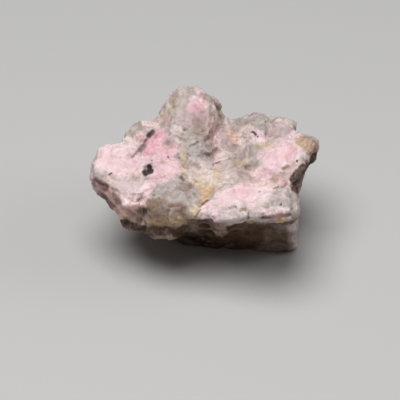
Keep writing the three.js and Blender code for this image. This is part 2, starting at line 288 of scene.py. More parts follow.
class Graph:
    """A material's nodes, made one by one from what they are set to and fed with."""

    def __init__(self, name: str) -> None:
        """Starts an empty material.

        Args:
            name: The material's name.
        """
        self.material = bpy.data.materials.new(name)
        self.material.use_nodes = True
        self.tree = self.material.node_tree
        self.tree.nodes.clear()

    def node(self, kind: str, settings: dict[str, Any], feeds: dict[Any, Any]) -> bpy.types.Node:
        """Adds a node.

        Args:
            kind: The node's type.
            settings: Its properties, which are set first.
            feeds: The value or wire of each socket, by the socket's name or number.

        Returns:
            The node.
        """
        node = self.tree.nodes.new(kind)
        for key, value in settings.items():
            setattr(node, key, value)
        for key, value in feeds.items():
            socket = node.inputs[key]
            if isinstance(value, Wire):
                self.tree.links.new(value.socket, socket)
            elif socket.type == "RGBA" and len(value) == 3:
                socket.default_value = (*value, 1.0)
            else:
                socket.default_value = value
        return node

    def wire(self, node: bpy.types.Node, output: str | int = 0) -> Wire:
        """The wire from one of a node's outputs."""
        return Wire(self, node.outputs[output])

    def math(self, operation: str, *values: Any) -> Wire:
        """A Math node on numbers."""
        return self.wire(self.node("ShaderNodeMath", {"operation": operation}, dict(enumerate(values))))

    def vector_math(self, operation: str, *values: Any) -> Wire:
        """A Vector Math node on vectors, or on colours.

        Args:
            operation: The node's operation.
            *values: The vectors.

        Returns:
            The vector, or the number where the operation gives one.
        """
        feeds = dict(enumerate(values))
        node = self.node("ShaderNodeVectorMath", {"operation": operation}, feeds)
        return self.wire(node, "Value" if operation in {"DISTANCE", "DOT_PRODUCT"} else "Vector")

    def mix(self, kind: Mixing, share: Any, low: Any, high: Any) -> Wire:
        """Goes from one value to another.

        Args:
            kind: What the values are.
            share: How far it goes, from 0 to 1.
            low: The value at 0.
            high: The value at 1.

        Returns:
            The value in between.
        """
        data_type, first, second, result = kind.value
        settings = {"data_type": data_type, "clamp_factor": True}
        node = self.node("ShaderNodeMix", settings, {0: share, first: low, second: high})
        return self.wire(node, result)

    def blend(self, share: Any, under: Any, over: Any) -> Wire:
        """Lays one colour over another.

        Args:
            share: How much of the upper colour shows.
            under: The lower colour.
            over: The upper colour.

        Returns:
            The mixed colour.
        """
        return self.mix(Mixing.COLOUR, share, under, over)

    def between(self, share: Any, low: Any, high: Any) -> Wire:
        """A number between two others."""
        return self.mix(Mixing.NUMBER, share, low, high)

    def noise(self, spot: Wire, size: float, detail: float, roughness: float) -> Wire:
        """Makes soft noise.

        Args:
            spot: Where it is read, in mm.
            size: How large its lumps are, in mm.
            detail: How many finer layers it has.
            roughness: How strong the finer layers are.

        Returns:
            The noise, from 0 to 1.
        """
        feeds = {"Vector": spot, "Scale": 1.0 / size, "Detail": detail, "Roughness": roughness}
        return self.wire(self.node("ShaderNodeTexNoise", {}, feeds), "Fac")

    def patches(self, spot: Wire, patches: Patches) -> Wire:
        """Lays out soft patches.

        Args:
            spot: Where they are read, in mm.
            patches: What they are like.

        Returns:
            Their mask.
        """
        noise = self.noise(spot + patches.offset, patches.size, patches.detail, patches.roughness)
        return noise.step(*patches.edge, patches.strength)

    def moved(self, spot: Wire, waves: Waves) -> Wire:
        """Moves the spots that are read, so that what is straight looks grown.

        Args:
            spot: Where a pattern is read, in mm.
            waves: How large each kind of wave is, and how far it moves a spot, in mm.

        Returns:
            The moved spot.
        """
        place = spot
        for size, way in waves:
            noise = self.node("ShaderNodeTexNoise", {}, {"Vector": spot, "Scale": 1.0 / size})
            place = place + (self.wire(noise, "Color") - MEAN) * way
        return place

    def cells(self, spot: Wire, size: float) -> tuple[Wire, Wire, Wire]:
        """Grains that fill space.

        Args:
            spot: Where they are read, in mm.
            size: How large a grain is, in mm.

        Returns:
            The distance to the grain's middle in grain sizes, three random numbers of the grain,
            and its middle in mm.
        """
        feeds = {"Vector": spot * (1.0 / size), "Scale": 1.0}
        node = self.node("ShaderNodeTexVoronoi", {}, feeds)
        return (
            self.wire(node, "Distance"),
            self.wire(node, "Color"),
            self.wire(node, "Position") * size,
        )

    def specks(self, spot: Wire, specks: Specks) -> Wire:
        """Strews small specks.

        Args:
            spot: Where they are read, in mm.
            specks: What they are like.

        Returns:
            Their mask.
        """
        distance, random, _ = self.cells(spot + specks.offset, specks.size)
        chosen = self.part_of(random, 0).step(*specks.rarity)
        return distance.step(*specks.radius, specks.strength) * chosen

    def seams(self, spot: Wire, size: float) -> Wire:
        """Finds the seams between grains.

        Args:
            spot: Where they are read, in mm.
            size: How large a grain is, in mm.

        Returns:
            How far it is to the nearest seam, in grain sizes.
        """
        feeds = {"Vector": spot * (1.0 / size), "Scale": 1.0}
        node = self.node("ShaderNodeTexVoronoi", {"feature": "DISTANCE_TO_EDGE"}, feeds)
        return self.wire(node, "Distance")

    def part_of(self, vector: Wire, axis: int) -> Wire:
        """One of a vector's three numbers."""
        return self.wire(self.node("ShaderNodeSeparateXYZ", {}, {0: vector}), axis)

    def stored(self, name: str) -> Wire:
        """A number that is stored with the skin's points."""
        return self.wire(self.node("ShaderNodeAttribute", {"attribute_name": name}, {}), "Fac")


# ------------------------------------------------------------------------------ minerals and marks


class Mineral(Enum):
    """What a mark on the stone is made of, in the order in which they are laid on."""

    GREY = "grey translucent feldspar"
    LILAC = "grey feldspar with a pink cast"
    WHITE = "milky tugtupite"
    BLUSH = "pale pink tugtupite"
    PINK = "pink tugtupite"
    ROSE = "deeper pink tugtupite"
    DUSK = "dusky pink break"
    FAWN = "pinkish brown break"
    # Mauve: a dull mauve tone, darkened with painted shade where edges face the ground.
    MAUVE_AND_SHADE = "dull mauve break and painted shade"
    CREAM = "cream stain"
    TAN = "tan stain"
    OCHRE = "ochre stain"
    # Umber: partly the stone's own brown, partly painted shade on the underside.
    UMBER_AND_SHADE = "umber stain and painted shade"
    RUST = "red brown seam"
    BLACK = "black amphibole"


@dataclass(frozen=True)
class Finish:
    """How one mineral looks.

    Attributes:
        colour: Its own colour.
        other: The colour that its grains vary towards.
        roughness: How dull it is.
        cover: How much it hides what is under it.
        crisp: Whether its edge is close and crisp, as a grain's is, or wanders as a stain's does.
    """

    colour: Colour
    other: Colour
    roughness: float
    cover: float
    crisp: bool = False


FINISHES = {
    Mineral.GREY: Finish((0.48, 0.415, 0.39), (0.38, 0.325, 0.30), 0.45, 0.9),
    Mineral.LILAC: Finish((0.56, 0.42, 0.41), (0.46, 0.36, 0.36), 0.5, 0.9),
    Mineral.WHITE: Finish((0.82, 0.68, 0.67), (0.72, 0.60, 0.58), 0.6, 0.85),
    Mineral.BLUSH: Finish((0.93, 0.72, 0.73), (0.87, 0.65, 0.66), 0.6, 0.92),
    Mineral.PINK: Finish((0.86, 0.58, 0.63), (0.84, 0.61, 0.64), 0.6, 0.9),
    Mineral.ROSE: Finish((0.80, 0.41, 0.49), (0.84, 0.51, 0.57), 0.6, 0.85),
    Mineral.DUSK: Finish((0.78, 0.51, 0.45), (0.66, 0.42, 0.36), 0.65, 0.92),
    Mineral.FAWN: Finish((0.42, 0.27, 0.23), (0.30, 0.185, 0.155), 0.7, 0.92),
    # Mauve: a dull mauve tone darkened with painted shade.
    Mineral.MAUVE_AND_SHADE: Finish((0.24, 0.12, 0.12), (0.15, 0.075, 0.075), 0.65, 0.92),
    Mineral.CREAM: Finish((0.70, 0.56, 0.38), (0.60, 0.45, 0.28), 0.6, 0.85),
    Mineral.TAN: Finish((0.29, 0.19, 0.13), (0.20, 0.13, 0.09), 0.7, 0.9),
    Mineral.OCHRE: Finish((0.76, 0.50, 0.30), (0.58, 0.35, 0.18), 0.65, 0.85),
    # Umber is partly the stone's own brown and partly painted shade: it darkens the underside, the faces
    # under the rim and the faces turned from the light.
    Mineral.UMBER_AND_SHADE: Finish((0.096, 0.048, 0.029), (0.058, 0.029, 0.017), 0.9, 1.0),
    Mineral.RUST: Finish((0.20, 0.09, 0.075), (0.32, 0.17, 0.15), 0.6, 0.9, True),
    Mineral.BLACK: Finish((0.035, 0.024, 0.024), (0.085, 0.06, 0.055), 0.4, 0.98, True),
}


@dataclass(frozen=True)
class Mark:
    """A spot or streak of a mineral, placed where the camera sees it.

    Attributes:
        name: What it is.
        start: Its middle or its one end, in pixels across and down the picture.
        radius: How far it reaches to each side, in pixels.
        end: Its other end, where it is a streak.
        strength: How strong it is, from 0 to 1.
        softness: The share of its radius over which it fades.
    """

    name: str
    start: Pixel
    radius: float
    end: Pixel | None = None
    strength: float = 1.0
    softness: float = 0.6


MARKS = {
    Mineral.GREY: (
        Mark("lilac grey under the arm", (124, 192), 3, (132, 194), 0.3, 1.0),
        Mark("ridge tip", (139, 124), 5, (142, 130), 0.95, 0.7),
        Mark("ridge side", (126, 138.5), 6, (134, 135), 0.65, 0.9),
        Mark("lobe top", (158, 192), 11, (184, 190), 0.9, 0.7),
        Mark("lobe top, right", (186, 200), 8, (178, 206), 0.9, 0.8),
        Mark("peak top", (178, 92), 5, (192, 92), 0.6, 1.0),
        Mark("peak grey", (180, 100), 6, (178, 128), 0.35, 1.0),
        Mark("peak blue grey", (186, 132), 6, (192, 140), 0.9, 0.8),
        Mark("peak foot grey", (188, 156), 8, (206, 152), 0.7, 1.0),
        Mark("middle grey", (224, 143), 4.5, (232, 148), 0.85, 0.7),
        Mark("middle grey, near side", (229, 156), 4, (241, 157), 0.8, 0.7),
        Mark("grey facet", (254, 151), 7, (257, 163), 0.9, 0.6),
        Mark("back dome", (242, 124), 8, (262, 120), 0.9, 0.8),
        Mark("sugary grey", (276, 198), 7, (288, 199), 0.7, 0.9),
        Mark("middle rim grey", (226, 205), 5, (232, 210), 0.5, 1.0),
    ),
    Mineral.LILAC: (
        Mark("peak face", (188, 116), 9, (202, 117), 0.9, 0.9),
        Mark("grey by the peak", (221, 128), 6, (227, 144), 0.6, 1.0),
        Mark("grey below the facet", (234, 172), 5.5, (246, 176), 0.5, 1.0),
        Mark("beige dome", (276, 130), 8, (286, 134), 0.85, 0.9),
        Mark("brown hollow, far side", (290, 165), 3, (296, 162), 0.5, 1.0),
        Mark("beige by the tip", (296, 150), 5, (304, 160), 0.4, 1.0),
        Mark("underside, right edge", (297, 226), 3, (297, 244), 0.8, 0.9),
    ),
    Mineral.WHITE: (
        Mark("arm, far edge", (100, 153), 5, (97, 176), 0.8),
        Mark("arm, back edge", (104, 149), 3, (128, 139), 0.9),
        Mark("pale foot of the peak", (164, 133), 5, (177, 130), 0.7, 1.0),
        Mark("ridge foot", (113, 147), 4, (126, 147), 0.7),
        Mark("pale middle", (196, 176), 9, (226, 174), 0.6, 0.9),
        Mark("peak left edge", (160, 118), 4, (168, 104), 0.25, 0.9),
        Mark("flank white edge", (213, 106), 2, (219, 122), 0.8),
        Mark("flank left streak", (215, 124), 1.2, (217, 138), 0.4, 0.9),
        Mark("lens", (217, 139), 1.8, (216, 148), 0.3, 0.9),
        Mark("white between the greys", (218, 156), 3, (228, 154), 0.45, 0.9),
        Mark("white left of the facet", (243, 131), 4.5, (248, 138), 0.9, 0.9),
        Mark("white foot of the peak", (191, 163), 4, (200, 164), 0.6, 1.0),
        Mark("white below the dome", (242, 140), 4, (262, 142), 0.7, 0.9),
        Mark("beige dome, back edge", (276, 122), 3, (294, 124), 0.4, 0.9),
        Mark("white by the tip", (300, 158), 3, (304, 154), 0.4, 0.9),
        Mark("ledge white", (262, 192), 7, (256, 203), 0.9, 0.8),
        Mark("sugary white", (272, 193), 5, (288, 191), 0.4, 0.9),
        Mark("middle rim", (224, 214), 6, (240, 212), 0.8, 0.9),
        # Painted light: the lit right end of the underside is made white, paler than its own grey-pink.
        Mark("underside, right", (292, 227), 4.2, (293, 244), 0.6, 1.0),
    ),
    Mineral.BLUSH: (
        Mark("arm, far end", (106, 157), 14, (128, 163), 0.95, 0.7),
        Mark("arm, front", (112, 180), 9, (142, 188), 0.35, 0.9),
        Mark("white over the rose", (156, 126), 3, (160, 134), 0.8, 0.9),
        Mark("white above the lobe", (139, 198), 5, (150, 184), 0.95),
        Mark("white under the arm", (123, 200), 5.8, (146, 201), 1.0, 0.4),
        Mark("ridge white edge", (145, 122.5), 3, (154, 124), 1.0),
        Mark("ridge white middle", (134, 144), 5, (143, 136), 0.8),
        Mark("white under the crease", (206, 208), 4, (214, 204), 0.9),
        Mark("pale rim, left end", (202, 214), 3, (214, 213), 0.5, 0.9),
        # Painted highlight: a pale spot where light catches the top of the peak.
        Mark("painted highlight on the peak", (193, 98.5), 3, (199, 101), 0.8, 0.9),
        # Painted highlight: a white line where light glints on a small ledge.
        Mark("painted white glint", (215, 161.5), 1.1, (226, 158), 0.9),
        Mark("white below the facet", (257, 174), 5.5, (276, 171), 1.0, 0.6),
        Mark("back dome white", (249, 127), 2.6, (257, 131), 0.6, 1.0),
        Mark("white round the pink", (292, 136), 4, (300, 133), 0.8, 0.9),
        Mark("pink zone, pale", (272, 158), 12, (290, 150), 0.9, 0.6),
        Mark("ledge pale", (224, 198), 9, (266, 186), 0.95, 0.8),
        Mark("ledge cream", (249, 194), 4.6, (251, 204), 0.9, 0.8),
        Mark("white by the right face", (281, 181), 4.6, (288, 182), 0.9, 0.8),
        Mark("rim white", (262, 211), 2.6, (286, 209.5), 0.6, 0.9),
    ),
    Mineral.PINK: (
        Mark("arm pink, near end", (120, 160), 6, (142, 158), 0.5, 1.0),
        Mark("arm pink, far end", (104, 160), 5, (116, 155), 0.35, 1.0),
        Mark("pink by the shoulder", (160, 175), 8, (172, 168), 0.85, 0.8),
        Mark("pink over the shoulder", (150, 162), 6, (164, 156), 0.6, 0.9),
        Mark("peak pink", (193, 106), 5.5, (201, 103), 0.85, 1.0),
        Mark("pink zone", (273, 157), 8, (288, 148), 0.9, 0.8),
        Mark("pink zone, lower", (268, 172), 5, (274, 166), 0.9, 0.8),
        Mark("ledge rose", (234, 194), 5, (248, 187), 0.9, 0.9),
    ),
    Mineral.ROSE: (
        Mark("rose streak", (149, 150), 6, (159, 137), 0.85, 0.8),
        Mark("rose streak, lower end", (163, 150), 4, (166, 160), 0.45, 0.9),
        Mark("pink flecks under it", (152, 181), 3, (163, 179), 0.3, 0.9),
        Mark("peak rose", (193, 108), 3.6, (199, 108), 0.45, 1.0),
        Mark("deeper pink", (288, 157), 3.5, (292, 150), 0.4, 0.9),
        Mark("ledge deeper rose", (236, 193), 3, (241, 191), 0.35, 1.0),
    ),
    Mineral.DUSK: (
        Mark("mauve face", (102, 192), 4.6, (116, 203), 0.8, 0.8),
        Mark("mauve face, near side", (112, 191), 4.2, (118, 202), 0.8, 0.8),
        Mark("mauve face, foot", (116, 207), 4, (122, 216), 0.9, 0.9),
        Mark("low lobe, upper", (122, 207), 4.8, (138, 208), 1.0, 0.7),
        Mark("low lobe, lower", (125, 215), 4.8, (139, 216), 1.0, 0.7),
        Mark("right face, inner edge", (291, 173), 3, (305, 163), 0.5, 1.0),
    ),
    Mineral.FAWN: (
        Mark("seam, shadow", (134, 155), 3.2, (156, 132), 0.15, 1.0),
        Mark("low lobe stain", (141, 210), 3, (139, 221), 0.8, 1.0),
        Mark("lobe face, left", (150, 212), 4, (156, 222), 0.5, 0.9),
        Mark("peach patch stripes", (232, 137), 1.0, (238, 137), 0.5, 0.8),
        Mark("brown hollow", (284.4, 168.4), 1.8, (288, 166.4), 0.9, 1.0),
        Mark("fawn band", (268, 221.5), 1.6, (280, 220.5), 0.4, 0.9),
        Mark("red fleck by the notch", (240, 210.5), 1.4, (245, 209.5), 0.6, 0.8),
        Mark("under lump", (213, 225), 5, (219, 229), 0.8, 0.9),
    ),
    # Mauve marks: a dull mauve tone with painted shade, on the arm's lower edges and the foot of the right
    # face, which turn from the light.
    Mineral.MAUVE_AND_SHADE: (
        Mark("mauve edge", (95, 182), 4, (105, 187), 1.0, 0.7),
        Mark("mauve lower edge", (100, 193), 3, (112, 206), 0.8, 0.8),
        Mark("mauve face, near edge", (114, 194), 2.0, (118, 202), 0.5, 1.0),
        Mark("right face, foot", (298, 194), 3, (302, 184), 0.7, 0.9),
    ),
    Mineral.CREAM: (
        Mark("lobe edge above the crease", (147, 206), 2, (156, 198), 0.5, 0.9),
        Mark("yellow crease", (200, 180), 6, (206, 190), 0.6, 1.0),
        Mark("yellow spot", (218, 171), 4.5, (216, 180), 0.6, 0.9),
        Mark("cream under it", (195, 210), 4.6, (196, 218), 1.0, 0.6),
        Mark("peak left side", (166, 112), 6, (174, 102), 0.3, 1.0),
        Mark("peak foot tan", (182, 150), 2.4, (184, 174), 0.5, 1.0),
        Mark("stained grey", (240, 163), 3.4, (246, 160), 0.4, 0.9),
        Mark("beige dome stain", (260, 146), 4, (268, 146), 0.45, 1.0),
        Mark("tip cream", (299, 144), 3, (303, 147), 0.35, 0.9),
    ),
    Mineral.TAN: (
        Mark("low lobe crease", (143, 207), 2.4, (139, 222), 0.7, 1.0),
        Mark("lobe brown patch", (150, 204), 4.6, (163, 203), 0.8, 0.9),
        Mark("lobe face, upper", (150, 210), 4.8, (182, 208), 0.9, 0.9),
        Mark("lobe face, lower", (152, 219), 4.8, (182, 217), 1.0, 0.8),
        Mark("lobe bottom brown", (154, 225), 3.6, (186, 223), 0.8, 1.0),
        Mark("lobe stain at the top", (183, 187), 4, (190, 187), 0.5, 0.9),
        Mark("peak brown", (198, 130), 5.5, (208, 135), 0.7, 1.0),
        Mark("peak brown, upper", (197, 123), 4.5, (206, 121), 0.35, 1.0),
        # Partly brown and partly painted shade, where the peak's right flank turns from the light.
        Mark("peak band, brown and painted shade", (210, 118), 3.4, (211, 146), 0.1, 1.0),
        Mark("peak right side", (211, 102), 3.2, (211, 122), 0.35, 1.0),
        Mark("flank grey", (217, 105), 3, (222, 116), 0.6, 0.9),
        Mark("tip tan", (304, 140), 5, (313, 145), 0.65, 1.0),
        Mark("tip far edge", (310, 153), 2.8, (316, 146), 0.95, 0.8),
        Mark("tip far end", (316, 147), 2.4, (316, 152), 0.8, 0.9),
    ),
    Mineral.OCHRE: (
        Mark("lobe ochre", (148, 222), 4, (186, 220), 0.35, 1.0),
        Mark("ochre line", (203, 201), 3.0, (211, 191), 0.75, 1.0),
        Mark("ochre spot", (200, 194), 3, (204, 187), 0.25, 1.0),
        Mark("ochre under it", (193, 218), 1.6, (198, 205), 0.4, 0.9),
        Mark("peach patch", (230, 133), 4, (236, 139), 0.35, 1.0),
        Mark("tip ochre", (302, 142), 5.5, (311, 146), 0.4, 1.0),
        Mark("brown patch rim", (273, 184), 2.6, (278, 178), 0.4, 1.0),
        Mark("tan band", (250, 220.5), 2.8, (284, 220.5), 0.95, 0.8),
    ),
    # Umber marks: partly the stone's own brown, partly painted shade on the underside, under the rim and
    # the lobe, and on the right face that is turned from the light.
    Mineral.UMBER_AND_SHADE: (
        Mark("low lobe foot", (122, 223), 3.6, (147, 230), 0.95, 0.7),
        Mark("lobe bottom", (150, 232), 4.6, (184, 229), 0.9, 0.7),
        Mark("lobe left seam", (144, 211), 2.5, (148, 226), 0.35, 1.0),
        Mark("dark crease", (200, 206.5), 1.0, (208, 200), 0.6, 1.0),
        Mark("tip edge", (315, 155), 3, (310, 160), 0.85, 0.8),
        Mark("right face", (296, 179), 6.6, (306, 169), 1.0, 0.3),
        Mark("right face, upper", (306, 170), 4.6, (313, 158), 1.0, 0.4),
        Mark("right face, upper edge", (297, 173.5), 3.8, (304, 167), 1.0, 0.4),
        Mark("right face, lower", (296, 189), 4.4, (300, 180), 1.0, 0.5),
        Mark("end of the band", (284, 222), 2.2, (291, 222), 0.4, 0.9),
        Mark("notch in the rim", (247.6, 213), 1.0, (248.4, 219), 0.7, 0.8),
        Mark("underside, near side", (234, 238), 14, (250, 239), 0.85, 0.5),
        Mark("underside, far side", (252, 238), 14, (282, 240), 0.45, 0.5),
        Mark("underside, upper", (232, 229), 4.2, (262, 230), 0.8, 0.7),
        Mark("underside, left", (176, 240), 12, (214, 243), 1.0, 0.5),
        Mark("underside, left, upper", (180, 235), 4.8, (210, 234), 1.0, 0.5),
        Mark("shade under the rim", (230, 228), 4, (270, 228), 0.7, 0.7),
        Mark("shade under the lobe", (176, 233), 4, (206, 226), 0.95, 0.5),
    ),
    Mineral.RUST: (
        Mark("red brown line", (263, 217.4), 1.8, (289, 214.8), 0.95, 0.9),
    ),
    Mineral.BLACK: (
        Mark("seam, upper blob", (149, 135.5), 2.4, (152.4, 131.8), 0.8, 0.7),
        Mark("seam, middle", (142.5, 145), 1.2, (149, 136), 0.55, 0.9),
        Mark("seam, lower blob", (139.8, 150.5), 2.4, (144.5, 145), 0.5, 0.9),
        Mark("seam, tail", (132, 157), 1.3, (139, 151), 0.4, 1.0),
        Mark("black grain, upper", (149.4, 166.8), 2.6, None, 1.0, 0.4),
        Mark("black grain, left", (145.4, 173), 3.3, None, 1.0, 0.4),
        Mark("black grain, right", (149.9, 171), 3.3, None, 1.0, 0.4),
        Mark("comma", (109, 175.2), 0.7, (111.4, 173.4), 0.8, 0.5),
        Mark("smudge", (181, 177), 1.5, (183, 180), 0.45, 0.9),
        Mark("smudge, upper end", (183, 174), 0.8, None, 0.5, 0.8),
        Mark("dot on the shoulder", (168, 157), 1.0, None, 0.65, 0.6),
        Mark("second dot on the shoulder", (152, 160.5), 0.8, None, 0.5, 0.8),
        Mark("dot by the peak", (184.2, 129.8), 1.0, None, 0.75, 0.6),
        Mark("second dot by the peak", (179.5, 158), 0.9, None, 0.5, 0.8),
        Mark("dot on the lobe", (154, 195), 1.0, None, 0.5, 0.8),
        Mark("second dot on the lobe", (159, 198), 1.0, None, 0.5, 0.8),
        Mark("third dot on the lobe", (169, 210), 1.4, None, 0.5, 0.9),
        Mark("dark dots under it", (195, 217.5), 0.9, (200, 210), 0.35, 0.9),
        # Painted shadow: a black line where the rim overhangs and shades the face below.
        Mark("painted shadow line under the rim", (192, 223), 1.2, (206, 219), 0.8, 0.6),
        Mark("peak grey marks", (190, 146), 0.9, (198, 142), 0.4, 0.9),
        # Dark dots beside the painted highlight line.
        Mark("painted white glint, dark side", (216, 163), 0.8, (220, 161.6), 0.5, 0.8),
        Mark("back dome fleck", (253, 132), 1.3, (255.5, 134.4), 0.85, 0.6),
        Mark("back dome second fleck", (257.6, 136.6), 0.9, None, 0.8, 0.6),
        Mark("back dome third fleck", (265.6, 122), 0.9, None, 0.65, 0.6),
        Mark("dot in the pink", (297, 161), 1.2, None, 0.9, 0.5),
        Mark("grey streak", (273.5, 189), 0.9, (278, 187), 0.4, 0.9),
        Mark("sugary grey flecks", (282, 187), 1.2, (286, 184), 0.3, 1.0),
        Mark("dot on the ledge", (280.6, 204.4), 1.1, None, 0.85, 0.5),
    ),
}


# --------------------------------------------------------------------------------------- the stone


def smooth_step(share: np.ndarray) -> np.ndarray:
    """Rises smoothly from 0 at 0 to 1 at 1."""
    share = np.clip(share, 0, 1)
    return share * share * (3 - 2 * share)


@dataclass(frozen=True)
class Facets:
    """Flat breaks of one size all over the stone, each round a random point of a lattice's cell.

    Attributes:
        size: How large one is, in mm.
        slope: How steeply one may tilt, as a share of its length.
        crispness: How sharply one meets the next.
        seed: Where its random numbers start.
        period: After how many cells they come again.
    """

    size: float
    slope: float
    crispness: float
    seed: int
    period: int = 48

    def heights(self, spots: np.ndarray) -> np.ndarray:
        """Works out how far the breaks lift the skin.

        Args:
            spots: Points of the skin, in mm.

        Returns:
            A height for each, in mm.
        """
        chance = np.random.default_rng(self.seed)
        middles = chance.uniform(0, 1, (self.period,) * 3 + (3,))
        tilts = chance.uniform(-self.slope, self.slope, (self.period,) * 3 + (3,))
        scaled = spots / self.size
        cells = np.floor(scaled).astype(int)
        steps = np.array(list(itertools.product((-1, 0, 1), repeat=3)))
        around = cells[:, None, :] + steps
        column = tuple(np.moveaxis(around % self.period, 2, 0))
        away = scaled[:, None, :] - around - middles[column]
        squares = (away**2).sum(2)
        shares = np.exp(-self.crispness * (squares - squares.min(1, keepdims=True)))
        planes = (away * tilts[column]).sum(2)
        return self.size * (planes * shares).sum(1) / shares.sum(1)


@dataclass(frozen=True)
class Form:
    """A low ridge, a hollow or a smooth stretch of the skin, placed where the camera sees it.

    Attributes:
        name: What it is.
        start: Its one end, in pixels across and down the picture.
        end: Its other end.
        radius: How far it reaches to each side, in pixels.
        amount: How far it rises, in mm, or how smooth it is, from 0 to 1.
    """

    name: str
    start: Pixel
    end: Pixel
    radius: float
    amount: float

    def laid(self, spots: np.ndarray, viewpoint: Viewpoint, tree: BVHTree) -> np.ndarray:
        """Works out how much of it each point of the skin gets.

        Args:
            spots: The points, in mm.
            viewpoint: Where the camera stands.
            tree: The skin.

        Returns:
            A share of the amount for each, which is whole on the line between the two ends.
        """
        start = np.array(viewpoint.landed(tree, self.start))
        way = np.array(viewpoint.landed(tree, self.end)) - start
        along = np.clip((spots - start) @ way / (way @ way), 0, 1)
        distance = np.linalg.norm(spots - start - along[:, None] * way, axis=1)
        return self.amount * smooth_step(1 - distance / (self.radius * viewpoint.pixel))


FORMS = (
    Form("filled groove right of the peak", (212, 122), (213, 148), 4.0, 0.35),
    Form("lip of the peak's face", (173, 124), (186, 130), 3.0, -0.35),
    Form("lip of the brown facet", (203, 131), (209, 127), 2.6, -0.3),
    Form("filled foot of the brown facet", (202, 140), (209, 136), 3.2, 0.4),
    Form("filled foot of the groove", (206, 151), (213, 147), 4.2, 0.5),
    Form("edge of the flank", (213, 106), (219, 124), 2.5, 0.3),
    Form("lip of the rim", (256, 212), (288, 210), 3.0, 0.3),
    Form("step under the lip", (262, 218), (290, 215), 2.2, -0.5),
    Form("notch in the rim", (247.5, 212), (248.5, 220), 2.0, -0.6),
    Form("bite beside the notch", (240, 211), (245, 210), 2.0, -0.4),
    Form("hollow in the pink", (283, 168.5), (289, 166), 3.0, -0.6),
    Form("pit of the black grains", (146, 173), (149, 168), 5.0, -0.35),
    Form("left black grain", (145.6, 173), (145.6, 173.2), 3.0, 0.35),
    Form("right black grain", (149.6, 171), (149.6, 171.2), 3.0, 0.35),
    Form("black seam", (136, 154), (152, 133), 2.4, -0.3),
    Form("stained crease", (198, 205), (213, 189), 3.0, -0.3),
    Form("crease above the lobe", (150, 188), (184, 182), 2.4, -0.3),
    Form("crease left of the lobe", (144, 206), (146, 224), 2.6, -0.2),
    Form("left edge of the grey facet", (249, 148), (249, 160), 1.8, -0.2),
    Form("filled pit by the grey facet", (245, 166), (249, 167), 3.2, 0.4),
    Form("nub on the flank", (217, 105), (221, 109), 6.0, -0.8),
    Form("top of the peak, far side", (193, 90), (208, 98), 10.0, -0.7),
    Form("edge of the beige dome", (270, 122), (284, 122), 6.0, -0.55),
    Form("far edge of the ridge", (147, 122), (156, 122), 4.0, -0.35),
    Form("filled pit right of the peak", (204, 150), (211, 154), 4.6, 0.5),
    Form("ledge under the arm", (126, 203), (145, 205), 7.0, 1.1),
    Form("filled pit between the lobes", (141, 207), (143, 211), 3.4, 0.35),
    Form("filled groove on the flank", (217, 112), (219, 118), 3.2, 0.3),
    Form("right edge of the grey facet", (262, 150), (265, 168), 1.8, 0.3),
    Form("glinting ledge", (214, 161), (227, 158), 2.0, 0.35),
    Form("hollow under it", (214, 165), (228, 162), 2.2, -0.3),
    Form("peach steps", (230, 135), (238, 136), 2.0, 0.25),
    Form("crease of the back dome", (240, 138), (268, 144), 2.4, -0.3),
    Form("back pit", (253, 132), (256, 135), 2.0, -0.35),
    Form("foot of the beige dome", (270, 142), (288, 142), 2.4, -0.3),
    Form("fold under the arm's edge", (98, 184), (118, 192), 2.4, -0.3),
    Form("brown patch", (274, 181), (277, 178), 2.6, 0.15),
    Form("filled crease on the peak", (172, 131), (184, 138), 3.6, 0.5),
    Form("filled pit by the lobe", (130, 197), (134, 199), 3.0, 0.3),
    Form("filled crease by the lobe", (134, 199), (143, 196), 3.6, 0.3),
    Form("filled pit in the low lobe", (138, 217), (140, 218), 3.0, 0.4),
    Form("arm's far end", (91, 160), (90, 176), 14.0, -0.8),
    Form("far side of the tip", (315, 158), (310, 165), 9.0, -0.6),
)
CALM = (
    Form("arm", (106, 160), (132, 168), 17.0, 0.9),
    Form("arm, front", (118, 184), (142, 188), 11.0, 0.75),
    Form("pink by the shoulder", (155, 168), (174, 171), 13.0, 0.8),
    Form("pink over the shoulder", (150, 148), (165, 156), 9.0, 0.5),
    Form("peak face", (184, 104), (202, 120), 16.0, 0.8),
    Form("grey lobe", (160, 200), (180, 204), 17.0, 0.8),
    Form("grey facet", (254, 152), (258, 164), 8.0, 0.9),
    Form("pink zone", (270, 160), (288, 151), 15.0, 0.9),
    Form("pink zone, lower", (266, 174), (274, 166), 9.0, 0.8),
    Form("pink ledge", (226, 199), (264, 190), 14.0, 0.85),
    Form("yellow crease", (199, 181), (208, 187), 9.0, 0.5),
    Form("low lobe", (124, 210), (136, 212), 10.0, 0.7),
    Form("under the arm", (104, 190), (117, 202), 8.0, 0.6),
    Form("lobe face", (156, 215), (184, 213), 10.0, 0.8),
    Form("underside", (236, 238), (284, 238), 15.0, 0.95),
    Form("underside, left", (180, 240), (215, 240), 12.0, 0.9),
)


